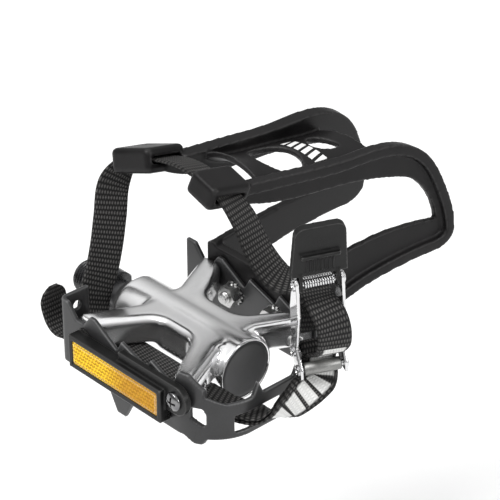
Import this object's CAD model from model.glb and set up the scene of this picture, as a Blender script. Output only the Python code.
import math

import bmesh
import bpy
import numpy as np
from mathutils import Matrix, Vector


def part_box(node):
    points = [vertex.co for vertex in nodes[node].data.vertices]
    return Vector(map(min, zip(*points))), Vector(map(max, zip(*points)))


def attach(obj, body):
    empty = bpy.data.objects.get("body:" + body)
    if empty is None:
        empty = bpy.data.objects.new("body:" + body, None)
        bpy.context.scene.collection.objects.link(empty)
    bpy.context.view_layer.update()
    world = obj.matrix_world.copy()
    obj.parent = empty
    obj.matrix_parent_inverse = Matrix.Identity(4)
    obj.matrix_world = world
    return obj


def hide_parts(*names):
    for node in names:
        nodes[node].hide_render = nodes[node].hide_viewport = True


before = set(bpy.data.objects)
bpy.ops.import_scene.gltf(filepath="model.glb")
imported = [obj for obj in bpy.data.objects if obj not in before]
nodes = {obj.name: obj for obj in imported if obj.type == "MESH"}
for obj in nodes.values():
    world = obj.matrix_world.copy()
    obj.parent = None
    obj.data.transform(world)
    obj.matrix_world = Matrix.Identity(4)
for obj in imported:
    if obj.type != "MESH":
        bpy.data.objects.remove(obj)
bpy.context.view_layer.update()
mm = 0.001
print("frame loaded:", len(nodes), "nodes")

# Camera: the target stays at its pixel of the 500 x 500 picture
view = {
    "target": (0.045, 0.020, 0.010),
    "azimuth": 47.68,
    "elevation": 31.69,
    "distance": 0.8033,
    "targetPixel": (223.2, 291.6),
    "pictureSize": 500,
    "focalPixels": 2107.4,
    "sensor": 36.0,
}


def aimCamera():
    # the picture's middle ray is the target's ray turned by the pixel offset over the focal length
    az, el = math.radians(view["azimuth"]), math.radians(view["elevation"])
    back = Vector((math.sin(az) * math.cos(el), -math.cos(az) * math.cos(el), math.sin(el)))
    right = Vector((math.cos(az), math.sin(az), 0))
    up = back.cross(right)
    middle = view["pictureSize"] / 2
    aside = (middle - view["targetPixel"][0]) / view["focalPixels"]
    above = (view["targetPixel"][1] - middle) / view["focalPixels"]
    look = right * aside + up * above - back
    optics = bpy.data.cameras.new("camera")
    optics.sensor_width = view["sensor"]
    optics.lens = view["sensor"] * view["focalPixels"] / view["pictureSize"]
    optics.clip_start, optics.clip_end = 0.01, 100
    cam = bpy.data.objects.new("camera", optics)
    cam.location = Vector(view["target"]) + back * view["distance"]
    cam.rotation_mode = "QUATERNION"
    cam.rotation_quaternion = look.to_track_quat("-Z", "Y")
    bpy.context.scene.collection.objects.link(cam)
    bpy.context.scene.camera = cam


aimCamera()


# Small helpers for node trees
def addNode(tree, kind, links=(), **settings):
    node = tree.nodes.new(kind)
    for name, value in settings.items():
        setattr(node, name, value)
    for socket, value in dict(links).items():
        if isinstance(value, bpy.types.NodeSocket):
            tree.links.new(value, node.inputs[socket])
        else:
            node.inputs[socket].default_value = value
    return node


def mathNode(tree, operation, a, b=0.0):
    return addNode(tree, "ShaderNodeMath", {0: a, 1: b}, operation=operation).outputs[0]


def halfStep(tree, rows):
    # half a cell aside in every second row
    odd = mathNode(tree, "FLOORED_MODULO", mathNode(tree, "FLOOR", rows), 2.0)
    return mathNode(tree, "MULTIPLY", odd, 0.5)


def newGroup(name, inputs, outputs):
    tree = bpy.data.node_groups.new(name, "ShaderNodeTree")
    for label, value in inputs.items():
        socket = tree.interface.new_socket(label, in_out="INPUT", socket_type="NodeSocketFloat")
        socket.default_value = value
    for label in outputs:
        tree.interface.new_socket(label, in_out="OUTPUT", socket_type="NodeSocketFloat")
    return tree, addNode(tree, "NodeGroupInput").outputs, addNode(tree, "NodeGroupOutput").inputs


grainMix = {"fine": 0.25, "slow": 0.75, "from": 0.35, "full": 0.65, "bumpStrength": 0.6}


def makeGrainGroup():
    # fine grain for bump; the mask for colour and gloss is slow clouds with a share of the grain
    tree, given, result = newGroup("surfaceGrain", {"Grain": 900.0, "Cloud": 60.0}, ["Mask", "Height"])
    place = addNode(tree, "ShaderNodeTexCoord").outputs["Object"]
    fine = addNode(tree, "ShaderNodeTexNoise", {"Vector": place, "Scale": given["Grain"], "Detail": 3.0})
    slow = addNode(tree, "ShaderNodeTexNoise", {"Vector": place, "Scale": given["Cloud"], "Detail": 5.0})
    both = mathNode(tree, "MULTIPLY", slow.outputs[0], grainMix["slow"])
    both = mathNode(tree, "ADD", both, mathNode(tree, "MULTIPLY", fine.outputs[0], grainMix["fine"]))
    spread = addNode(tree, "ShaderNodeMapRange",
                     {0: both, 1: grainMix["from"], 2: grainMix["full"], 3: 0.0, 4: 1.0})
    tree.links.new(spread.outputs[0], result["Mask"])
    tree.links.new(fine.outputs[0], result["Height"])
    return tree


def makeWeaveGroup():
    # crowns of yarn in rows, every second row half a yarn aside: (1 - 4 a^2)(1 - 4 b^2) in each cell
    tree, given, result = newGroup("webbingWeave", {"Yarn": 1.06, "Row": 1.9}, ["Crown", "Height"])
    place = addNode(tree, "ShaderNodeUVMap", uv_map="webbing").outputs[0]
    split = addNode(tree, "ShaderNodeSeparateXYZ", {0: place}).outputs
    rows = mathNode(tree, "DIVIDE", split[1], given["Row"])
    aside = halfStep(tree, rows)
    yarns = mathNode(tree, "ADD", mathNode(tree, "DIVIDE", split[0], given["Yarn"]), aside)
    crown = None
    for share in (yarns, rows):
        cell = mathNode(tree, "SUBTRACT", mathNode(tree, "FRACT", share), 0.5)
        fall = mathNode(tree, "MULTIPLY", mathNode(tree, "MULTIPLY", cell, cell), 4.0)
        dome = mathNode(tree, "SUBTRACT", 1.0, fall)
        crown = dome if crown is None else mathNode(tree, "MULTIPLY", crown, dome)
    fibre = addNode(tree, "ShaderNodeTexNoise", {"Vector": place, "Scale": 2.4, "Detail": 4.0})
    bright = mathNode(tree, "MULTIPLY", mathNode(tree, "POWER", crown, 2.0), fibre.outputs[0])
    tree.links.new(bright, result["Crown"])
    tree.links.new(crown, result["Height"])
    return tree


grainGroup = makeGrainGroup()
weaveGroup = makeWeaveGroup()


def newMaterial(name, **sockets):
    material = bpy.data.materials.new(name)
    material.use_nodes = True
    tree = material.node_tree
    shader = tree.nodes["Principled BSDF"]
    for socket, value in sockets.items():
        shader.inputs[socket.replace("_", " ")].default_value = value
    return material, tree, shader


def mixColour(tree, factor, first, second):
    node = addNode(tree, "ShaderNodeMix", data_type="RGBA")
    tree.links.new(factor, node.inputs["Factor"])
    for socket, colour in (("A", first), ("B", second)):
        slot = [s for s in node.inputs if s.name == socket and s.type == "RGBA"][0]
        if isinstance(colour, bpy.types.NodeSocket):
            tree.links.new(colour, slot)
        else:
            slot.default_value = (*colour, 1)
    return [s for s in node.outputs if s.type == "RGBA"][0]


def grainFinish(name, dark, light, gloss, grain, cloud, bump, worn=None, **sockets):
    # colour and roughness drift with the clouds, the grain gives the bump,
    # and marked edges take the worn colour
    material, tree, shader = newMaterial(name, **sockets)
    effect = addNode(tree, "ShaderNodeGroup", node_tree=grainGroup)
    effect.inputs["Grain"].default_value = grain
    effect.inputs["Cloud"].default_value = cloud
    mask = effect.outputs["Mask"]
    colour = mixColour(tree, mask, dark, light)
    if worn:
        edge = addNode(tree, "ShaderNodeAttribute", attribute_name="edge").outputs["Fac"]
        colour = mixColour(tree, edge, colour, worn)
    tree.links.new(colour, shader.inputs["Base Color"])
    rough = addNode(tree, "ShaderNodeMapRange", {0: mask, 1: 0.0, 2: 1.0, 3: gloss[0], 4: gloss[1]})
    tree.links.new(rough.outputs[0], shader.inputs["Roughness"])
    relief = addNode(tree, "ShaderNodeBump", {"Height": effect.outputs["Height"], "Distance": bump})
    relief.inputs["Strength"].default_value = grainMix["bumpStrength"]
    tree.links.new(relief.outputs[0], shader.inputs["Normal"])
    return material, tree, shader, colour


coats = {  # dark and light colour, range of roughness, scales of grain and clouds, bump height, the rest
    "castAluminium": (
        (0.80, 0.80, 0.81), (0.88, 0.88, 0.88), (0.17, 0.27), 500, 70, 0.00001, {"Metallic": 1.0}),
    "cageCoat": (
        (0.015, 0.015, 0.0155), (0.027, 0.027, 0.028), (0.32, 0.44), 1500, 60, 0.00001,
        {"worn": (0.13, 0.13, 0.132), "Specular_IOR_Level": 0.42}),
    "threadSteel": (
        (0.012, 0.012, 0.013), (0.03, 0.03, 0.032), (0.22, 0.34), 1500, 120, 0.00001,
        {"Specular_IOR_Level": 0.7}),
    "bearingSteel": (
        (0.5, 0.5, 0.52), (0.64, 0.64, 0.66), (0.12, 0.22), 1500, 200, 0.000005, {"Metallic": 1.0}),
    "zincPlate": (
        (0.42, 0.42, 0.42), (0.54, 0.54, 0.53), (0.24, 0.34), 900, 240, 0.000004, {"Metallic": 1.0}),
    "darkScrew": (
        (0.16, 0.16, 0.165), (0.24, 0.24, 0.24), (0.14, 0.24), 900, 240, 0.000004, {"Metallic": 1.0}),
    "buckleChrome": (
        (0.58, 0.58, 0.59), (0.68, 0.68, 0.68), (0.07, 0.14), 600, 160, 0.000003, {"Metallic": 1.0}),
    "dullRoller": (
        (0.2, 0.2, 0.195), (0.32, 0.32, 0.31), (0.38, 0.5), 1600, 200, 0.00001, {"Metallic": 0.9}),
    "capPlastic": (
        (0.03, 0.03, 0.031), (0.045, 0.045, 0.047), (0.4, 0.52), 1400, 90, 0.00001,
        {"Specular_IOR_Level": 0.4}),
    "sealRubber": (
        (0.03, 0.03, 0.03), (0.05, 0.05, 0.05), (0.5, 0.65), 1400, 90, 0.00002, {"Specular_IOR_Level": 0.3}),
    "mouldedBlack": (
        (0.006, 0.006, 0.006), (0.011, 0.011, 0.011), (0.26, 0.38), 1500, 80, 0.00001,
        {"worn": (0.075, 0.074, 0.073), "Specular_IOR_Level": 0.18}),
}
finishes = {}
for name, (dark, light, gloss, grain, cloud, bump, rest) in coats.items():
    finishes[name] = grainFinish(name, dark, light, gloss, grain, cloud, bump, **rest)[0]
print("finishes made:", len(finishes))


# Mesh helpers: a grid of points becomes quads, row by row
def gridFaces(rows, cols, wrapRows, wrapCols):
    i = np.arange(rows if wrapRows else rows - 1)[:, None]
    j = np.arange(cols if wrapCols else cols - 1)[None, :]
    below, beside = (i + 1) % rows, (j + 1) % cols
    corners = [i * cols + j, below * cols + j, below * cols + beside, i * cols + beside]
    return np.stack(corners, -1).reshape(-1, 4)


def gridMesh(name, points, wrapRows=False, wrapCols=False, caps=False, smooth=True):
    # wrapping joins the last row or column to the first, and caps close the first and last rows
    rows, cols = points.shape[:2]
    faces = gridFaces(rows, cols, wrapRows, wrapCols).tolist()
    if caps:
        faces += [list(range(cols)), list(range((rows - 1) * cols, rows * cols))]
    mesh = bpy.data.meshes.new(name)
    mesh.from_pydata(points.reshape(-1, 3).tolist(), [], faces)
    mesh.validate()
    shell = bmesh.new()
    shell.from_mesh(mesh)
    bmesh.ops.remove_doubles(shell, verts=shell.verts, dist=1e-7)
    bmesh.ops.recalc_face_normals(shell, faces=shell.faces)
    shell.to_mesh(mesh)
    shell.free()
    mesh.polygons.foreach_set("use_smooth", [smooth] * len(mesh.polygons))
    return mesh


def joinMeshes(name, meshes):
    both = bmesh.new()
    for mesh in meshes:
        both.from_mesh(mesh)
    joined = bpy.data.meshes.new(name)
    both.to_mesh(joined)
    both.free()
    return joined


def placePiece(name, mesh, body, finish, replaced=()):
    # a piece that rides a body, with its slot and finish, in place of the CAD nodes it replaces
    piece = bpy.data.objects.new(name, mesh)
    bpy.context.scene.collection.objects.link(piece)
    mesh.materials.clear()
    mesh.materials.append(finishes[finish])
    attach(piece, body)
    if replaced:
        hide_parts(*replaced)
    return piece


def sharpen(mesh, degrees):
    # edges that turn by more than the angle stay crisp
    shell = bmesh.new()
    shell.from_mesh(mesh)
    limit = math.radians(degrees)
    for edge in shell.edges:
        edge.smooth = edge.calc_face_angle(0) < limit
    shell.to_mesh(mesh)
    shell.free()


def axes(axis):
    # two directions that make a right-handed frame with the axis
    axis = np.array(axis, float) / np.linalg.norm(axis)
    helper = np.array([0, 0, 1.0]) if abs(axis[2]) < 0.9 else np.array([1.0, 0, 0])
    first = np.cross(helper, axis)
    first /= np.linalg.norm(first)
    return axis, first, np.cross(axis, first)


def turned(name, origin, axis, along, radius, segments, crisp=35):
    # a turned part: each row of (along, radius) goes round the axis; both may also change with the angle
    axis, first, second = axes(axis)
    angle = np.linspace(0, 2 * np.pi, segments, endpoint=False)[None, :]
    along = np.asarray(along, float)
    radius = np.asarray(radius, float)
    along = along[:, None] if along.ndim == 1 else along
    radius = radius[:, None] if radius.ndim == 1 else radius
    along, radius, angle = np.broadcast_arrays(along, radius, angle)
    spot = (np.array(origin, float) + along[..., None] * axis + (radius * np.cos(angle))[..., None] * first
            + (radius * np.sin(angle))[..., None] * second)
    mesh = gridMesh(name, spot * mm, wrapCols=True, caps=True)
    sharpen(mesh, crisp)
    return mesh


def threadRows(start, end, major, pitch, depth, segments, perTurn=8):
    # a screw thread: the radius follows a cosine of the way along less the turn
    rows = int((end - start) / pitch * perTurn)
    along = np.linspace(start, end, rows)[:, None]
    turn = np.linspace(0, 1, segments, endpoint=False)[None, :]
    wave = 0.5 + 0.5 * np.cos(2 * np.pi * (along / pitch - turn))
    lead = np.clip((along - start) / pitch, 0, 1)
    return np.repeat(along, segments, 1), major - depth * (1 - wave * lead)


def stack(*bands, segments):
    # rows of several (along, radius) bands under each other, each made as wide as the turned part
    def widen(values):
        return np.broadcast_to(np.asarray(values, float).reshape(len(values), -1), (len(values), segments))

    return np.vstack([widen(along) for along, _ in bands]), np.vstack([widen(radius) for _, radius in bands])


# Soft-edged copies of castings, pressings and mouldings: remeshed, then relaxed so that edges round off
softCopies = {  # CAD node, voxel in mm, rounds of relaxing, body, slot, finish
    "pedalCasting": ("pedal_body", 0.55, 26, "pedal", "cast_aluminium", "castAluminium"),
    "cagePressing": ("cage", 0.42, 3, "pedal", "black_steel", "cageCoat"),
    "buckleCheeks": ("buckle_frame", 0.26, 3, "pedal", "buckle_chrome", "buckleChrome"),
    "thumbLever": ("buckle_lever", 0.3, 5, "buckle_lever", "black_plastic", "mouldedBlack"),
    "reflectorFrame": ("reflector_housing", 0.34, 3, "pedal", "black_plastic", "mouldedBlack"),
}
edgeMark = {"from": 0.07, "full": 0.2, "rounds": 2}


def markEdges(mesh):
    # bulge of each point: how far its neighbours lie below its tangent plane, over their distance;
    # then each round mixes it by half with the neighbours' mean
    count = len(mesh.vertices)
    spot, normal = np.zeros(3 * count), np.zeros(3 * count)
    mesh.vertices.foreach_get("co", spot)
    mesh.vertex_normals.foreach_get("vector", normal)
    spot, normal = spot.reshape(-1, 3), normal.reshape(-1, 3)
    ends = np.zeros(2 * len(mesh.edges), np.int32)
    mesh.edges.foreach_get("vertices", ends)
    near, far = ends.reshape(-1, 2).T
    near, far = np.concatenate([near, far]), np.concatenate([far, near])
    share = np.maximum(np.bincount(near, minlength=count), 1)
    step = spot[far] - spot[near]
    fall = -(step * normal[near]).sum(1) / np.maximum(np.linalg.norm(step, axis=1), 1e-9)
    bulge = np.bincount(near, fall, count) / share
    for _ in range(edgeMark["rounds"]):
        bulge = 0.5 * bulge + 0.5 * np.bincount(near, bulge[far], count) / share
    edge = np.clip((bulge - edgeMark["from"]) / (edgeMark["full"] - edgeMark["from"]), 0, 1)
    mesh.attributes.new("edge", "FLOAT", "POINT").data.foreach_set("value", edge.astype(np.float32))


def softCopy(name, node, voxel, rounds):
    # the solid rebuilt from voxels, each point then moved half way to its neighbours' mean in every round
    copy = bpy.data.objects.new(name + "Work", nodes[node].data.copy())
    bpy.context.scene.collection.objects.link(copy)
    shell = bmesh.new()
    shell.from_mesh(copy.data)
    bmesh.ops.remove_doubles(shell, verts=shell.verts, dist=1e-6)
    shell.to_mesh(copy.data)
    shell.free()
    remesh = copy.modifiers.new("remesh", "REMESH")
    remesh.mode = "VOXEL"
    remesh.voxel_size = voxel * mm
    relax = copy.modifiers.new("relax", "SMOOTH")
    relax.factor = 0.5
    relax.iterations = rounds
    bpy.context.view_layer.update()
    mesh = bpy.data.meshes.new_from_object(copy.evaluated_get(bpy.context.evaluated_depsgraph_get()))
    bpy.data.objects.remove(copy)
    mesh.name = name
    mesh.polygons.foreach_set("use_smooth", [True] * len(mesh.polygons))
    markEdges(mesh)
    return mesh


for name, (node, voxel, rounds, body, slot, finish) in softCopies.items():
    mesh = softCopy(name, node, voxel, rounds)
    placePiece(name, mesh, body, finish, [node])
    print("soft copy", name, len(mesh.polygons), "faces")


# Toe clip: the moulding with a soft edge, and a row of plain white bars on its front bridge
clip = {
    "voxel": 0.6,
    "rounds": 4,
    "barY": (0.0567, 0.0635),
    "barX": (0.0375, 0.0565),
    "barPitch": 0.0038,
    "barFill": 0.62,
    "barLow": 0.05,
    "barSlant": 0.35,
    "barFacing": 0.5,
    "barColour": (0.8, 0.8, 0.79),
}


def within(tree, value, low, high):
    # 1 between the two limits, and 0 elsewhere
    above = mathNode(tree, "GREATER_THAN", value, low)
    return mathNode(tree, "MULTIPLY", above, mathNode(tree, "LESS_THAN", value, high))


def clipFinish():
    # a bar shows where the share of a slanted pitch is under the fill,
    # inside the bars' box and on faces that look up
    material, tree, shader, colour = grainFinish(
        "clipNylon", (0.005, 0.0047, 0.005), (0.011, 0.0103, 0.0106), (0.34, 0.46), 1300, 55, 0.00002,
        worn=(0.05, 0.049, 0.049), Specular_IOR_Level=0.16)
    coords = addNode(tree, "ShaderNodeTexCoord").outputs
    split = addNode(tree, "ShaderNodeSeparateXYZ", {0: coords["Object"]}).outputs
    facing = addNode(tree, "ShaderNodeSeparateXYZ", {0: coords["Normal"]})
    slant = mathNode(tree, "ADD", split[0], mathNode(tree, "MULTIPLY", split[1], clip["barSlant"]))
    share = mathNode(tree, "FRACT", mathNode(tree, "DIVIDE", slant, clip["barPitch"]))
    bars = mathNode(tree, "LESS_THAN", share, clip["barFill"])
    bars = mathNode(tree, "MULTIPLY", bars, within(tree, split[0], *clip["barX"]))
    bars = mathNode(tree, "MULTIPLY", bars, within(tree, split[1], *clip["barY"]))
    bars = mathNode(tree, "MULTIPLY", bars, mathNode(tree, "GREATER_THAN", split[2], clip["barLow"]))
    upward = mathNode(tree, "GREATER_THAN", facing.outputs[2], clip["barFacing"])
    bars = mathNode(tree, "MULTIPLY", bars, upward)
    tree.links.new(mixColour(tree, bars, colour, clip["barColour"]), shader.inputs["Base Color"])
    return material


finishes["clipNylon"] = clipFinish()
placePiece("toeClipMoulding", softCopy("toeClipMoulding", "toe_clip", clip["voxel"], clip["rounds"]),
           "pedal", "clipNylon", ["toe_clip"])
print("toe clip made")

# Spindle: thread, flange with two flats, neck, bearing cone, shaft and tail
spindle = {
    "segments": 96,
    "thread": 7.14, "pitch": 1.27, "depth": 0.8, "length": 14, "tip": [3.2, 5.6],
    "relief": 0.8, "reliefRadius": 6.3,
    "flange": 9, "flangeEnd": 6, "flats": 7.5, "bevel": 0.5,
    "shaftX": [6, 16, 16, 19, 20.2, 59, 59, 73, 73],
    "shaftRadius": [6, 6, 7.5, 7.5, 5, 5, 3.5, 3.5, 0.4],
}


def makeSpindle():
    # the flats cut the flange where its radius times the cosine of the turn passes their distance
    segments, bevel, end = spindle["segments"], spindle["bevel"], spindle["flangeEnd"]
    angle = np.linspace(0, 2 * np.pi, segments, endpoint=False)
    first = axes((1, 0, 0))[1]
    across = np.abs(np.cos(angle) if abs(first[1]) > 0.5 else np.sin(angle))
    flange = np.minimum(spindle["flange"], spindle["flats"] / np.maximum(across, 1e-6))
    edge = flange - bevel
    bands = [
        ([-spindle["length"]] * 2, spindle["tip"]),
        threadRows(-spindle["length"], -spindle["relief"], spindle["thread"], spindle["pitch"],
                   spindle["depth"], segments),
        ([-spindle["relief"], 0], [spindle["reliefRadius"]] * 2),
        ([0, bevel, end - bevel, end], np.vstack([edge, flange, flange, edge])),
        (spindle["shaftX"], spindle["shaftRadius"]),
    ]
    along, radius = stack(*bands, segments=segments)
    return turned("spindleForging", (0, 0, 0), (1, 0, 0), along, radius, segments)


placePiece("spindleForging", makeSpindle(), "spindle", "threadSteel", ["spindle"])

# Dust cap and axle seal, both turned about the spindle's axis: rows are insets from the solid's ends and rim
cap = {"segments": 96, "crisp": 50, "frontBack": [0.7, 0.2, 0, 0, 0.35, 0.5], "rearInset": [1.8, 0],
       "frontInset": [0, 0.2, 0.7, 1.5, 2.4], "middle": 0.2}
seal = {"segments": 96, "crisp": 40, "bore": 7.9, "fromHigh": [0, 0, 1.2, 1.5, 2.2], "fromLow": [0.6, 0, 0],
        "inset": [0, 0, 0.5, 0.6, 1, 1.6]}


def makeCap():
    # rows from the back's edge over the rounded rim and into a shallow hollow
    low, high = [np.array(corner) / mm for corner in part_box("dust_cap")]
    along = [low[0]] * 2 + [high[0] - back for back in cap["frontBack"]]
    radius = [high[1] - inset for inset in cap["rearInset"] + cap["frontInset"]] + [cap["middle"]]
    return turned("dustCapDish", (0, 0, 0), (1, 0, 0), along, radius, cap["segments"], cap["crisp"])


def makeSeal():
    # rows round the section: the wide lip, a step down, the narrow end, then back along the bore
    low, high = [np.array(corner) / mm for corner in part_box("axle_seal")]
    along = [high[0] - back for back in seal["fromHigh"]]
    along += [low[0] + step for step in seal["fromLow"]] + [high[0]]
    radius = [seal["bore"]] + [high[1] - inset for inset in seal["inset"]] + [seal["bore"]] * 2
    return turned("axleSealRing", (0, 0, 0), (1, 0, 0), along, radius, seal["segments"], seal["crisp"])


placePiece("dustCapDish", makeCap(), "pedal", "capPlastic", ["dust_cap"])
placePiece("axleSealRing", makeSeal(), "pedal", "sealRubber", ["axle_seal"])

# Toe-clip fasteners: hex nuts, toothed washers and threaded bolts
fastener = {
    "boltX": (39.2, 62.3), "z": 2.2, "boltRadius": 2.5, "boltFrom": 24.2, "pitch": 0.8, "threadDepth": 0.4,
    "threadEnd": 33, "boltSegments": 48, "boltCrisp": 30, "pointInset": 0.7, "pointMiddle": 0.3, "lead": 0.1,
    "headFrom": 36.6, "headTo": 39.2, "headRadius": 3.7, "headRows": 8, "headStart": 0.1, "headFall": 0.85,
    "headMiddle": 0.2,
    "nutFrom": 26.3, "nutTo": 30.3, "nutCorner": 4.62, "nutCrown": 0.9, "nutCut": 0.55, "nutSlack": 0.04,
    "nutSegments": 96, "nutCrisp": 25,
    "washerTo": 31.2, "washerTip": 5.0, "washerRoot": 4.25, "washerTeeth": 14, "toothSides": 12,
    "toothSlope": 1.6, "toothTwist": 0.22, "toothEdge": 0.22, "washerSlack": 0.05, "washerCrisp": 30,
}


def hexRadius(corner, angle):
    # a hexagon in polar form: the flat's distance over the cosine of the turn from its middle
    turn = np.mod(angle, np.pi / 3) - np.pi / 6
    return corner * np.cos(np.pi / 6) / np.cos(turn)


def makeNut(x):
    # a hexagon whose bevel at each end is a share of how far the corner stands past the crown
    segments = fastener["nutSegments"]
    angle = np.linspace(0, 2 * np.pi, segments, endpoint=False)
    full = hexRadius(fastener["nutCorner"], angle)
    crown = np.minimum(full, fastener["nutCorner"] * fastener["nutCrown"])
    bore = np.full(segments, fastener["boltRadius"] + fastener["nutSlack"])
    low, high = np.full(segments, fastener["nutFrom"]), np.full(segments, fastener["nutTo"])
    cut = fastener["nutCut"] * (full - crown)
    along = np.vstack([low, low, low + cut, high - cut, high, high])
    radius = np.vstack([bore, crown, full, full, crown, bore])
    return turned("nut", (x, 0, fastener["z"]), (0, 1, 0), along, radius, segments, fastener["nutCrisp"])


def makeWasher(x):
    # teeth are a clipped cosine of the angle, and each is twisted by the sine
    teeth = fastener["washerTeeth"]
    segments = teeth * fastener["toothSides"]
    angle = np.linspace(0, 2 * np.pi, segments, endpoint=False)
    tooth = np.clip(0.5 + fastener["toothSlope"] * np.cos(angle * teeth), 0, 1)
    outer = fastener["washerRoot"] + (fastener["washerTip"] - fastener["washerRoot"]) * tooth
    twist = fastener["toothTwist"] * np.sin(angle * teeth) * tooth
    inner = np.full(segments, fastener["boltRadius"] + fastener["washerSlack"])
    low, high, edge = fastener["nutTo"], fastener["washerTo"], fastener["toothEdge"]
    along = np.vstack([inner * 0 + low, low + edge + twist, high - edge + twist, inner * 0 + high])
    radius = np.vstack([inner, outer, outer, inner])
    return turned("washer", (x, 0, fastener["z"]), (0, 1, 0), along, radius,
                  segments, fastener["washerCrisp"])


def makeBolt(x):
    # the head's radius falls as the root of one less a share of the rise squared
    segments = fastener["boltSegments"]
    r, head = fastener["boltRadius"], fastener["headRadius"]
    tip, end = fastener["boltFrom"], fastener["threadEnd"]
    start, rise = fastener["headFrom"], fastener["headTo"] - fastener["headFrom"]
    dome = np.linspace(fastener["headStart"], 1, fastener["headRows"])
    along, radius = stack(
        ([tip, tip], [fastener["pointMiddle"], r - fastener["pointInset"]]),
        threadRows(tip + fastener["lead"], end, r, fastener["pitch"], fastener["threadDepth"], segments),
        ([end, start, start], [r, r, head]),
        (start + rise * dome, head * np.sqrt(np.clip(1 - fastener["headFall"] * dome ** 2, 0, 1))),
        ([start + rise], [fastener["headMiddle"]]),
        segments=segments)
    return turned("bolt", (x, 0, fastener["z"]), (0, 1, 0), along, radius, segments, fastener["boltCrisp"])


for name, maker, node in (
        ("clipNuts", makeNut, "toe_clip_nuts"),
        ("clipWashers", makeWasher, "toe_clip_lock_washers"),
        ("clipBolts", makeBolt, "toe_clip_bolts")):
    mesh = joinMeshes(name, [maker(x) for x in fastener["boltX"]])
    placePiece(name, mesh, "pedal", "zincPlate", [node])

# Reflector: a pan-head screw with a cross recess, and a lens pressed into small prisms
panScrew = {
    "segments": 96, "crisp": 40, "rings": 26, "innermost": 0.02,
    "x": 80.0, "z": 3.6, "face": -36.0, "head": 3.6, "rise": 2.0,
    "domeFall": 0.5, "domePower": 2.4, "rimShare": 0.98, "rimDrop": 0.25,
    "shank": 1.95, "shankEnd": -24.0, "shankMiddle": 0.2,
    "crossLong": 2.3, "crossHalf": 0.42, "crossDeep": 1.0, "crossWall": 0.14,
}


def makePanScrew():
    # the head's height falls with a power of the radius,
    # and an arm of the cross sinks it between sloped walls
    segments, rings, wall = panScrew["segments"], panScrew["rings"], panScrew["crossWall"]
    angle = np.linspace(0, 2 * np.pi, segments, endpoint=False)[None, :]
    share = np.linspace(1, panScrew["innermost"], rings)[:, None]
    r = panScrew["head"] * share
    dome = panScrew["rise"] * (1 - panScrew["domeFall"] * share ** panScrew["domePower"])
    dome = dome - panScrew["rimDrop"] * (share > panScrew["rimShare"])
    u, v = np.abs(r * np.cos(angle)), np.abs(r * np.sin(angle))
    arms = np.clip((panScrew["crossHalf"] - np.minimum(u, v)) / wall, 0, 1)
    arms = arms * np.clip((panScrew["crossLong"] - np.maximum(u, v)) / (3 * wall), 0, 1)
    top = dome - panScrew["crossDeep"] * arms
    away, tip, shank = -panScrew["face"], -panScrew["shankEnd"], panScrew["shank"]
    along, radius = stack(
        ([tip, tip, away, away], [panScrew["shankMiddle"], shank, shank, panScrew["head"]]),
        (away + top, np.broadcast_to(r, top.shape)),
        segments=segments)
    return turned("reflectorPanScrew", (panScrew["x"], 0, panScrew["z"]), (0, -1, 0), along, radius,
                  segments, panScrew["crisp"])


placePiece("reflectorPanScrew", makePanScrew(), "pedal", "darkScrew", ["reflector_screw"])

lens = {
    "prism": 1.25, "deep": 0.28, "margin": 0.9, "edgeBack": 0.3,
    "turnFrom": 0.38, "turnTo": 0.62, "turnDepth": 0.8,
    "speckScale": 700.0, "speckMiddle": 0.4, "speckDepth": 0.9,
    "cellPitch": 1.6, "seamFrom": 0.1, "seamTo": 0.3, "seamDepth": 0.95,
    "yellow": (0.93, 0.62, 0.03), "orange": (0.52, 0.25, 0.025), "seam": (0.36, 0.17, 0.008),
}


def makeLens():
    # a plate whose front is a lattice of four-sided prisms: every second point of the grid stands forward
    low, high = [np.array(corner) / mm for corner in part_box("reflector_lens")]
    across, tall = high[0] - low[0], high[2] - low[2]
    cols = int(across / lens["prism"] * 2) // 2 * 2 + 1
    rows = int(tall / lens["prism"] * 2) // 2 * 2 + 1
    x, z = np.meshgrid(np.linspace(low[0], high[0], cols), np.linspace(low[2], high[2], rows))
    i, j = np.meshgrid(np.arange(cols), np.arange(rows))
    inside = (x > low[0] + lens["margin"]) & (x < high[0] - lens["margin"])
    inside &= (z > low[2] + lens["margin"]) & (z < high[2] - lens["margin"])
    front = low[1] + lens["deep"] * np.where(inside, ((i + j) % 2), 0)
    front[[0, -1], :] += lens["edgeBack"]
    front[:, [0, -1]] += lens["edgeBack"]
    face = np.stack([x, front, z], -1)

    def rim(depth):
        # the plate's border at one depth, once round
        border = np.stack([x, np.full_like(x, depth), z], -1)
        return np.concatenate([border[0], border[1:, -1], border[-1, -2::-1], border[-2:0:-1, 0]])

    skirt = np.stack([rim(low[1] + lens["edgeBack"]), rim(high[1])])
    mesh = joinMeshes("lens", [gridMesh("face", face * mm, smooth=False),
                               gridMesh("skirt", skirt * mm, wrapCols=True, smooth=False)])
    shell = bmesh.new()
    shell.from_mesh(mesh)
    bmesh.ops.remove_doubles(shell, verts=shell.verts, dist=1e-6)
    bmesh.ops.triangulate(shell, faces=shell.faces)
    bmesh.ops.holes_fill(shell, edges=shell.edges)
    bmesh.ops.recalc_face_normals(shell, faces=shell.faces)
    shell.to_mesh(mesh)
    shell.free()
    return mesh


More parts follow.
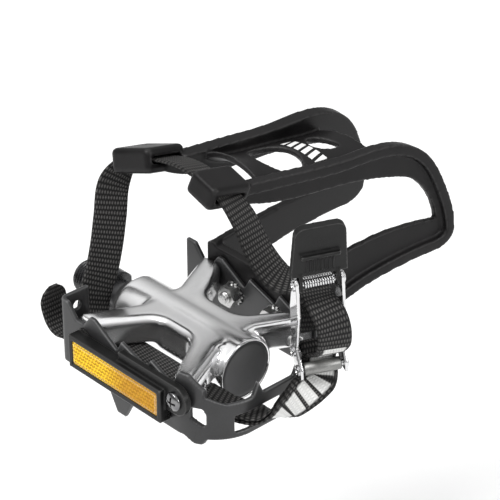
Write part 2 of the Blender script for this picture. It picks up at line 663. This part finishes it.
def lensFinish():
    # amber from yellow inboard to brown orange outboard; in rows of cells, the border of each cell is dark
    material, tree, shader = newMaterial("amberLens", Roughness=0.22, Coat_Weight=0.5, Coat_Roughness=0.08,
                                         Specular_IOR_Level=0.5)
    low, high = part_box("reflector_lens")
    place = addNode(tree, "ShaderNodeTexCoord").outputs["Object"]
    split = addNode(tree, "ShaderNodeSeparateXYZ", {0: place}).outputs
    run = addNode(tree, "ShaderNodeMapRange", {0: split[0], 1: low.x, 2: high.x, 3: 0.0, 4: 1.0}).outputs[0]
    speck = addNode(tree, "ShaderNodeTexNoise",
                    {"Vector": place, "Scale": lens["speckScale"], "Detail": 3.0})
    side = addNode(tree, "ShaderNodeMapRange",
                   {0: run, 1: lens["turnFrom"], 2: lens["turnTo"], 3: 0.0, 4: lens["turnDepth"]})
    drift = mathNode(tree, "SUBTRACT", speck.outputs[0], lens["speckMiddle"])
    hue = mathNode(tree, "ADD", side.outputs[0], mathNode(tree, "MULTIPLY", drift, lens["speckDepth"]))
    hue = addNode(tree, "ShaderNodeClamp", {0: hue}).outputs[0]
    amber = mixColour(tree, hue, lens["yellow"], lens["orange"])
    pitch = lens["cellPitch"] * mm
    rows = mathNode(tree, "DIVIDE", split[2], pitch)
    columns = mathNode(tree, "ADD", mathNode(tree, "DIVIDE", split[0], pitch), halfStep(tree, rows))
    spread = None
    for share in (rows, columns):
        away = mathNode(tree, "SUBTRACT", mathNode(tree, "FRACT", share), 0.5)
        square = mathNode(tree, "MULTIPLY", away, away)
        spread = square if spread is None else mathNode(tree, "ADD", spread, square)
    seams = addNode(tree, "ShaderNodeMapRange",
                    {0: spread, 1: lens["seamFrom"], 2: lens["seamTo"], 3: 0.0, 4: lens["seamDepth"]})
    tree.links.new(mixColour(tree, seams.outputs[0], amber, lens["seam"]), shader.inputs["Base Color"])
    return material


finishes["amberLens"] = lensFinish()
placePiece("reflectorPrisms", makeLens(), "pedal", "amberLens", ["reflector_lens"])
print("fasteners and reflector made")

# Buckle: its frame stands at the lever's pivot, x along the pivot and y towards the pedal
buckle = {"pivot": (104, 11.4, 44.8), "yaw": 62, "roll": -3.3, "cheek": 9.0, "drop": 36.5,
          "anchor": (5.5, -31.5), "leverTilt": 12}
rivet = {"segments": 40, "crisp": 50, "pivot": 1.3, "shank": 1.2, "head": 2.2, "rise": 0.8, "dimple": 0.1,
         "riseShare": [0, 0.55, 0.9, 1, 0.9, 0.5, 0.35], "headInset": [0, 0, 0.35, 0.8, 1.2, 1.35]}
roller = {"segments": 48, "crisp": 50, "radius": 2.4, "half": 7.0, "edge": 0.3, "bore": 1.25}
spring = {"wire": 0.5, "wireShare": 0.72, "coil": 2.0, "turns": 12, "perTurn": 28, "sides": 10}


def rotation(axis, degrees):
    # the right-handed turn about one axis, as a matrix
    c, s = math.cos(math.radians(degrees)), math.sin(math.radians(degrees))
    return {"x": np.array([[1, 0, 0], [0, c, -s], [0, s, c]]),
            "y": np.array([[c, 0, s], [0, 1, 0], [-s, 0, c]]),
            "z": np.array([[c, -s, 0], [s, c, 0], [0, 0, 1]])}[axis]


buckleTurn = rotation("z", buckle["yaw"]) @ rotation("y", buckle["roll"])
pinAxis = buckleTurn @ np.array([1, 0, 0])


def atBuckle(x, y, z):
    # a place in the buckle's own frame, turned and then moved to the pivot
    return np.array(buckle["pivot"]) + buckleTurn @ np.array([x, y, z], float)


def makePin(name, radius, y, z):
    # a rivet: at each end a domed head with a dimple, as rows of (share of the rise, inset from the rim)
    end = buckle["cheek"]
    rise = np.array([rivet["rise"] * share for share in rivet["riseShare"]])
    head = np.array([rivet["head"] - inset for inset in rivet["headInset"]] + [rivet["dimple"]])
    along = np.concatenate([-end - rise[::-1], [-end, end], end + rise])
    rows = np.concatenate([head[::-1], [radius, radius], head])
    return turned(name, atBuckle(0, y, z), pinAxis, along, rows, rivet["segments"], rivet["crisp"])


def makeRoller():
    # a bored cylinder with a bevel at each end
    half, edge, bore, outer = roller["half"], roller["edge"], roller["bore"], roller["radius"]
    along = [-half, -half, -half + edge, half - edge, half, half, -half]
    radius = [bore, outer - edge, outer, outer, outer - edge, bore, bore]
    return turned("strapRoller", atBuckle(0, 0, -buckle["drop"]), pinAxis, along, radius,
                  roller["segments"], roller["crisp"])


for name, node, radius, y, z in (
        ("pivotRivet", "buckle_pivot_pin", rivet["pivot"], 0, 0),
        ("rollerRivet", "buckle_roller_pin", rivet["shank"], 0, -buckle["drop"]),
        ("anchorRivet", "buckle_anchor_pin", rivet["shank"], *buckle["anchor"])):
    placePiece(name, makePin(name, radius, y, z), "pedal", "buckleChrome", [node])
placePiece("strapRoller", makeRoller(), "buckle_roller", "dullRoller", ["buckle_roller"])


def sweep(name, path, sides, radius, upHint):
    # a round wire: circles about the path, each square to the path's direction there
    ahead = np.gradient(path, axis=0)
    ahead /= np.linalg.norm(ahead, axis=1, keepdims=True)
    first = upHint - (upHint * ahead).sum(1, keepdims=True) * ahead
    first /= np.linalg.norm(first, axis=1, keepdims=True)
    second = np.cross(ahead, first)
    angle = np.linspace(0, 2 * np.pi, sides, endpoint=False)
    ring = first[:, None] * np.cos(angle)[None, :, None] + second[:, None] * np.sin(angle)[None, :, None]
    return gridMesh(name, (path[:, None] + radius * ring) * mm, wrapCols=True, caps=True)


def makeSpring():
    # a helix of close turns about the pivot
    turn = np.linspace(0, 2 * np.pi * spring["turns"], spring["turns"] * spring["perTurn"])
    span = spring["turns"] * spring["wire"] - spring["wire"]
    x = np.linspace(-span, span, len(turn))
    helix = np.stack([x, spring["coil"] * np.cos(turn), spring["coil"] * np.sin(turn)], -1)
    hint = np.stack([x * 0, np.cos(turn), np.sin(turn)], -1)
    spot = np.array(buckle["pivot"]) + helix @ buckleTurn.T
    radius = spring["wire"] * spring["wireShare"]
    return sweep("torsionSpring", spot, spring["sides"], radius, hint @ buckleTurn.T)


placePiece("torsionSpring", makeSpring(), "pedal", "buckleChrome", ["buckle_spring"])

thumb = {"halfWidth": 5.6, "low": 6.2, "high": 12.8, "face": 1.5, "rise": 0.42, "ribs": 8, "sunk": 0.6,
         "groove": 0.1, "fade": 0.5, "perRib": 12, "rows": 12}


def makeThumbRibs():
    # a corrugated pad: the height is a raised cosine across the lever, faded to nothing at the border;
    # each row goes up the front and back down a flat rear that lies inside the lever
    half, groove = thumb["halfWidth"], thumb["groove"]
    x = np.linspace(-half, half, thumb["ribs"] * thumb["perRib"] + 1)[None, :]
    z = np.linspace(thumb["low"], thumb["high"], thumb["rows"])[:, None]
    wave = 0.5 - 0.5 * np.cos(2 * np.pi * thumb["ribs"] * (x + half) / (2 * half))
    fade = np.clip(np.minimum(z - thumb["low"], thumb["high"] - z) / thumb["fade"], 0, 1)
    y = -thumb["face"] + groove - (thumb["rise"] + groove) * wave * fade
    x, y, z = np.broadcast_arrays(x, y, z)
    front = np.stack([x, y, z], -1).transpose(1, 0, 2)
    rear = front[:, ::-1].copy()
    rear[..., 1] = -thumb["face"] + thumb["sunk"]
    turn = buckleTurn @ rotation("x", buckle["leverTilt"])
    spot = np.array(buckle["pivot"]) + np.concatenate([front, rear], 1) @ turn.T
    return gridMesh("thumbRibs", spot * mm, wrapCols=True, caps=True)


placePiece("thumbRibs", makeThumbRibs(), "buckle_lever", "mouldedBlack")
print("buckle made")

# Strap: the same stations as the solid, each the middle of the webbing and the way its width points
strap = {
    "width": 12.7, "thick": 1.5, "pitch": 1.9, "slack": 0.6,
    "runY": -18.6, "runZ": -5.5, "bayY": -20.5, "bayZ": -0.6, "slotX": 96.5, "slotY": -9.4,
    "holderY": 6.6, "holderPitch": -13,
    "steps": 40, "row": 1.9, "yarn": 1.06, "rib": 0.16, "samples": 6, "across": 18, "edgePower": 10,
    "tipShare": 0.35,
    "blockFrom": 5, "blockSpans": 10, "blockLong": 4.8, "blockGap": 1.5, "blockLow": -4.6, "blockHigh": 3.4,
    "mapShift": 40, "bump": 0.00025, "bumpStrength": 0.9,
    "dark": (0.003, 0.003, 0.0033), "light": (0.19, 0.184, 0.178),
    "inkDark": (0.62, 0.62, 0.61), "inkLight": (0.86, 0.86, 0.85),
}
holders = {
    "near": {"x": 57.6, "z": 65.4, "half": 7.0, "tilt": 15},
    "far": {"x": 18.6, "z": 62.2, "half": 10.6, "tilt": -20},
}


def holderTurn(name):
    # a sleeve's own tilt first, then the pitch that both sleeves share
    return rotation("x", strap["holderPitch"]) @ rotation("y", holders[name]["tilt"])


def atHolder(name, x, z=0.0):
    # a place along a sleeve, or above it, turned with the sleeve
    spot = np.array([holders[name]["x"], strap["holderY"], holders[name]["z"]])
    return spot + holderTurn(name) @ np.array([x, 0, z], float)


def unit(v):
    # the vector over its length
    v = np.asarray(v, float)
    return v / np.linalg.norm(v)


def strapStations():
    # (middle, width direction) along the route; the tail's run is the outer run moved out by one pitch
    drop, pitch, runY, runZ = buckle["drop"], strap["pitch"], strap["runY"], strap["runZ"]
    slotX, slotY, bayY, bayZ = strap["slotX"], strap["slotY"], strap["bayY"], strap["bayZ"]
    anchorY, anchorZ = buckle["anchor"]
    across = buckleTurn @ np.array([-1.0, 0, 0])
    wrap = rivet["shank"] + strap["slack"] + strap["thick"] / 2
    tailY = roller["radius"] + strap["slack"] + strap["thick"] / 2
    fixedEnd = [(atBuckle(0, anchorY + wrap, anchorZ - 3), across)]
    for turn in np.radians((0, 45, 90, 135, 180)):
        y, z = anchorY + wrap * math.cos(turn), anchorZ + wrap * math.sin(turn)
        fixedEnd.append((atBuckle(0, y, z), across))
    fixedEnd.append((atBuckle(0, tailY + pitch, -drop), across))
    outerRun = [
        (atBuckle(-0.6, 3, -drop - 7.6), (-0.5, -0.85, 0.08)),
        ((slotX + 6.8, 5.2, -0.8), (-0.45, -0.7, 0.45)),
        ((slotX + 6.1, -1.4, -2.6), (-0.15, -0.55, 0.75)),
        ((slotX + 3.2, slotY + 3.2, runZ + 0.6), (0.35, -0.6, 0.45)),
        ((slotX - 1, slotY - 0.8, runZ), (0.65, -0.75, 0.05)),
        ((slotX - 8.5, runY + 3.4, runZ + 1.2), (0.45, -0.9, 0)),
        ((slotX - 15.5, runY - 0.4, bayZ - 1), (0.15, -0.99, 0)),
        ((slotX - 22, bayY, bayZ), (0, -1, 0)),
        ((slotX / 2, bayY, bayZ), (0, -1, 0)),
        ((24, bayY, bayZ), (0, -1, 0)),
    ]
    inboardRise = [
        ((18.6, bayY, bayZ - 0.4), (-0.06, -1, 0)),
        ((14, -18.8, bayZ - 0.6), (-0.15, -0.98, 0)),
        ((10.6, -16.2, 2.9), (-0.36, -0.93, 0)),
        ((10, -13.8, 9.8), (-0.46, -0.88, 0)),
        ((10, -10.8, 17), (-0.52, -0.85, 0)),
        ((9.6, -7.6, 27), (-0.54, -0.84, 0)),
        ((8.6, -4.6, 38), (-0.54, -0.84, 0)),
        ((6.4, -0.6, 49), (-0.4, -0.91, 0)),
    ]
    far, near = holderTurn("far") @ np.array([0, -1.0, 0]), holderTurn("near") @ np.array([0, -1.0, 0])
    farHalf, nearHalf = holders["far"]["half"], holders["near"]["half"]
    between = (atHolder("far", farHalf) + atHolder("near", -nearHalf)) / 2
    overClip = [
        (atHolder("far", -farHalf - 1.6, -1.2), far),
        (atHolder("far", -farHalf + 1), far),
        (atHolder("far", farHalf - 2), far),
        (between + np.array([0, 0, 1.4]), near),
        (atHolder("near", -nearHalf + 1), near),
        (atHolder("near", nearHalf - 1), near),
        ((70.6, 7.4, 56.4), (0, -0.98, 0.1)),
        ((76.8, 8.6, 46), (-0.1, -0.99, 0.05)),
        ((84, 11.4, 37.6), (-0.25, -0.96, 0)),
        (atBuckle(-1, 13, -9.2), (-0.42, -0.9, 0)),
    ]
    tailLoop = [(atBuckle(x, y, z), across) for x, y, z in (
        (0, 7, -7.8), (0.2, 2, -8), (1, -3, -9), (2.2, -6.8, -12.4), (2.9, -8.4, -17.6), (2.6, -7.8, -24),
        (1.8, -3.6, -28.8), (0.7, 2, -32.2), (0.2, tailY + 0.2, -drop + 0.6), (0.3, tailY, -drop - 1.2))]
    route = fixedEnd[-1:] + outerRun + inboardRise[:1]
    tailRun = []
    for before, (centre, width), after in zip(route, route[1:], route[2:]):
        outward = -unit(np.cross(unit(np.subtract(after[0], before[0])), width))
        tailRun.append((np.add(centre, outward * pitch), width))
    tailEnd = [(place, (0, -1, 0)) for place in (
        (14, -20.8, -5), (8, -22, -7.4), (2, -22.6, -8.2), (-2.6, -22.6, -5.8), (-5.2, -22.6, -1),
        (-5.9, -22.6, 4), (-5.6, -22.6, 8))]
    stations = fixedEnd + outerRun + inboardRise + overClip + tailLoop + tailRun + tailEnd
    printed = len(fixedEnd + outerRun + inboardRise + overClip) + strap["blockFrom"]
    return stations, printed, printed + strap["blockSpans"]


def smoothRun(values, steps):
    # a cubic through the stations: the slope at each is half the step between its two neighbours
    ahead = np.vstack([values[1:], values[-1:]])
    behind = np.vstack([values[:1], values[:-1]])
    after = np.vstack([values[2:], values[-1:], values[-1:]])
    share = (np.arange(steps) / steps)[None, :, None]
    a, b, c, d = [v[:-1, None] for v in (behind, values, ahead, after)]
    curve = 0.5 * (2 * b + (c - a) * share + (2 * a - 5 * b + 4 * c - d) * share ** 2
                   + (3 * b - a - 3 * c + d) * share ** 3)
    return np.vstack([curve.reshape(-1, 3), values[-1:]])


def makeWebbing():
    # the section is carried along the smooth route, square to it, at even steps
    stations, printFrom, printTo = strapStations()
    steps = strap["steps"]
    centre = smoothRun(np.array([s[0] for s in stations], float), steps)
    side = smoothRun(np.array([unit(s[1]) for s in stations]), steps)
    way = np.concatenate([[0], np.cumsum(np.linalg.norm(np.diff(centre, axis=0), axis=1))])
    count = int(way[-1] / strap["row"] * strap["samples"])
    even = np.linspace(0, way[-1], count)
    spot = np.stack([np.interp(even, way, centre[:, k]) for k in range(3)], -1)
    side = np.stack([np.interp(even, way, side[:, k]) for k in range(3)], -1)
    ahead = np.gradient(spot, axis=0)
    ahead /= np.linalg.norm(ahead, axis=1, keepdims=True)
    side -= (side * ahead).sum(1, keepdims=True) * ahead
    side /= np.linalg.norm(side, axis=1, keepdims=True)
    up = np.cross(ahead, side)
    # section: two faces with round selvedges; rows of weft raise the faces as a squared cosine
    share = np.linspace(-1, 1, strap["across"])
    face = np.sqrt(np.clip(1 - share ** strap["edgePower"], 0, 1))
    acrossRow = np.concatenate([share, share[::-1]]) * strap["width"] / 2
    level = np.concatenate([face, -face[::-1]])
    row = 0.5 + 0.5 * np.cos(2 * np.pi * even / strap["row"])
    thick = strap["thick"] / 2 - strap["rib"] * (1 - row)
    # the tail's tip is round: a quarter of a circle in the half width over its last part
    fromRound = np.clip(1 - (even[-1] - even) / (strap["width"] / 2), 0, 1)
    tip = np.maximum(strap["tipShare"], np.sqrt(1 - fromRound ** 2))
    points = (spot[:, None] + tip[:, None, None] * acrossRow[None, :, None] * side[:, None]
              + (thick[:, None] * level[None, :])[..., None] * up[:, None])
    rows, cols = points.shape[:2]
    mesh = bpy.data.meshes.new("strapWebbing")
    faces = gridFaces(rows, cols, False, True).tolist()
    faces += [list(range(cols))[::-1], list(range((rows - 1) * cols, rows * cols))]
    mesh.from_pydata((points.reshape(-1, 3) * mm).tolist(), [], faces)
    # plain blocks on the outer face, from the loop outside the buckle to the slot in the cage
    start, end = way[printFrom * steps], way[printTo * steps]
    block = strap["blockLong"] + strap["blockGap"]
    along = (even > start) & (even < end) & (np.mod(even - start, block) < strap["blockLong"])
    wide = (acrossRow > strap["blockLow"]) & (acrossRow < strap["blockHigh"]) & (level < 0)
    ink = (along[:, None] & wide[None, :]).astype(np.float32)
    mesh.attributes.new("ink", "FLOAT", "POINT").data.foreach_set("value", ink.ravel())
    # the map holds millimetres across and along, with the two faces side by side
    corner = np.zeros(len(mesh.loops), np.int32)
    mesh.loops.foreach_get("vertex_index", corner)
    mapRow = acrossRow + np.where(level < 0, strap["mapShift"], 0)
    flat = np.stack([np.tile(mapRow, rows), np.repeat(even, cols)], -1)
    mesh.uv_layers.new(name="webbing").data.foreach_set("uv", flat[corner].astype(np.float32).ravel())
    mesh.polygons.foreach_set("use_smooth", [True] * len(mesh.polygons))
    print("webbing", round(way[-1], 1), "mm long,", len(faces), "faces")
    return mesh


def webbingFinish():
    # yarn crowns are lighter than the gaps, and the ink attribute swaps black yarn for white
    material, tree, shader = newMaterial("strapWebbing", Roughness=0.6, Specular_IOR_Level=0.2)
    weave = addNode(tree, "ShaderNodeGroup", node_tree=weaveGroup)
    weave.inputs["Yarn"].default_value = strap["yarn"]
    weave.inputs["Row"].default_value = strap["row"]
    colour = mixColour(tree, weave.outputs["Crown"], strap["dark"], strap["light"])
    white = mixColour(tree, weave.outputs["Crown"], strap["inkDark"], strap["inkLight"])
    ink = addNode(tree, "ShaderNodeAttribute", attribute_name="ink").outputs["Fac"]
    tree.links.new(mixColour(tree, ink, colour, white), shader.inputs["Base Color"])
    relief = addNode(tree, "ShaderNodeBump", {"Height": weave.outputs["Height"], "Distance": strap["bump"]})
    relief.inputs["Strength"].default_value = strap["bumpStrength"]
    tree.links.new(relief.outputs[0], shader.inputs["Normal"])
    return material


finishes["strapWebbing"] = webbingFinish()
placePiece("strapWebbing", makeWebbing(), "pedal", "strapWebbing", ["strap"])

# CAD nodes whose solid is already right take a finish only
plainNodes = {
    "bearingSteel": ["outer_cone", "inner_cup", "outer_cup", "inner_balls", "outer_balls"],
    "zincPlate": ["lock_washer", "lock_nut", "cage_screws"],
}
for finish, names in plainNodes.items():
    for name in names:
        nodes[name].data.materials.clear()
        nodes[name].data.materials.append(finishes[finish])

# Studio: a pale floor well below the pedal, soft lamps and a graded sky
studio = {
    "floorZ": -0.13,
    "floorHalf": 6.0,
    "floorColour": (0.93, 0.93, 0.93, 1),
    "lamps": {
        "key": {"from": (-0.25, -1.0, 1.3), "size": 0.8, "power": 20},
        "side": {"from": (1.3, 0.5, 0.6), "size": 0.6, "power": 8},
    },
    "sky": [(0.0, 0.2), (0.25, 0.3), (0.55, 0.66), (0.8, 1.1)],
}


def makeStudio():
    # the floor is one quad, each lamp faces the camera's target, and the sky is a ramp over the height
    half = studio["floorHalf"]
    mesh = gridMesh("floor", np.array([[(-half, -half, studio["floorZ"]), (half, -half, studio["floorZ"])],
                                       [(-half, half, studio["floorZ"]), (half, half, studio["floorZ"])]]))
    floor = bpy.data.objects.new("floor", mesh)
    material, tree, shader = newMaterial("paleFloor", Roughness=0.8, Base_Color=studio["floorColour"])
    mesh.materials.append(material)
    bpy.context.scene.collection.objects.link(floor)
    middle = Vector(view["target"])
    for name, lamp in studio["lamps"].items():
        light = bpy.data.lights.new(name, "AREA")
        light.energy, light.size = lamp["power"], lamp["size"]
        holder = bpy.data.objects.new(name, light)
        holder.location = middle + Vector(lamp["from"])
        holder.rotation_euler = (-Vector(lamp["from"])).to_track_quat("-Z", "Y").to_euler()
        bpy.context.scene.collection.objects.link(holder)
    world = bpy.data.worlds.new("studio")
    bpy.context.scene.world = world
    world.use_nodes = True
    tree = world.node_tree
    way = addNode(tree, "ShaderNodeTexCoord").outputs["Generated"]
    sky = addNode(tree, "ShaderNodeSeparateXYZ", {0: way})
    ramp = addNode(tree, "ShaderNodeValToRGB", {0: sky.outputs[2]})
    stops = ramp.color_ramp.elements
    while len(stops) < len(studio["sky"]):
        stops.new(0.5)
    for stop, (height, level) in zip(stops, studio["sky"]):
        stop.position, stop.color = height, (level, level, level, 1)
    tree.links.new(ramp.outputs[0], tree.nodes["Background"].inputs[0])
    tree.nodes["Background"].inputs[1].default_value = 1.0
    bpy.context.scene.view_settings.view_transform = "Standard"


makeStudio()
print("studio made")
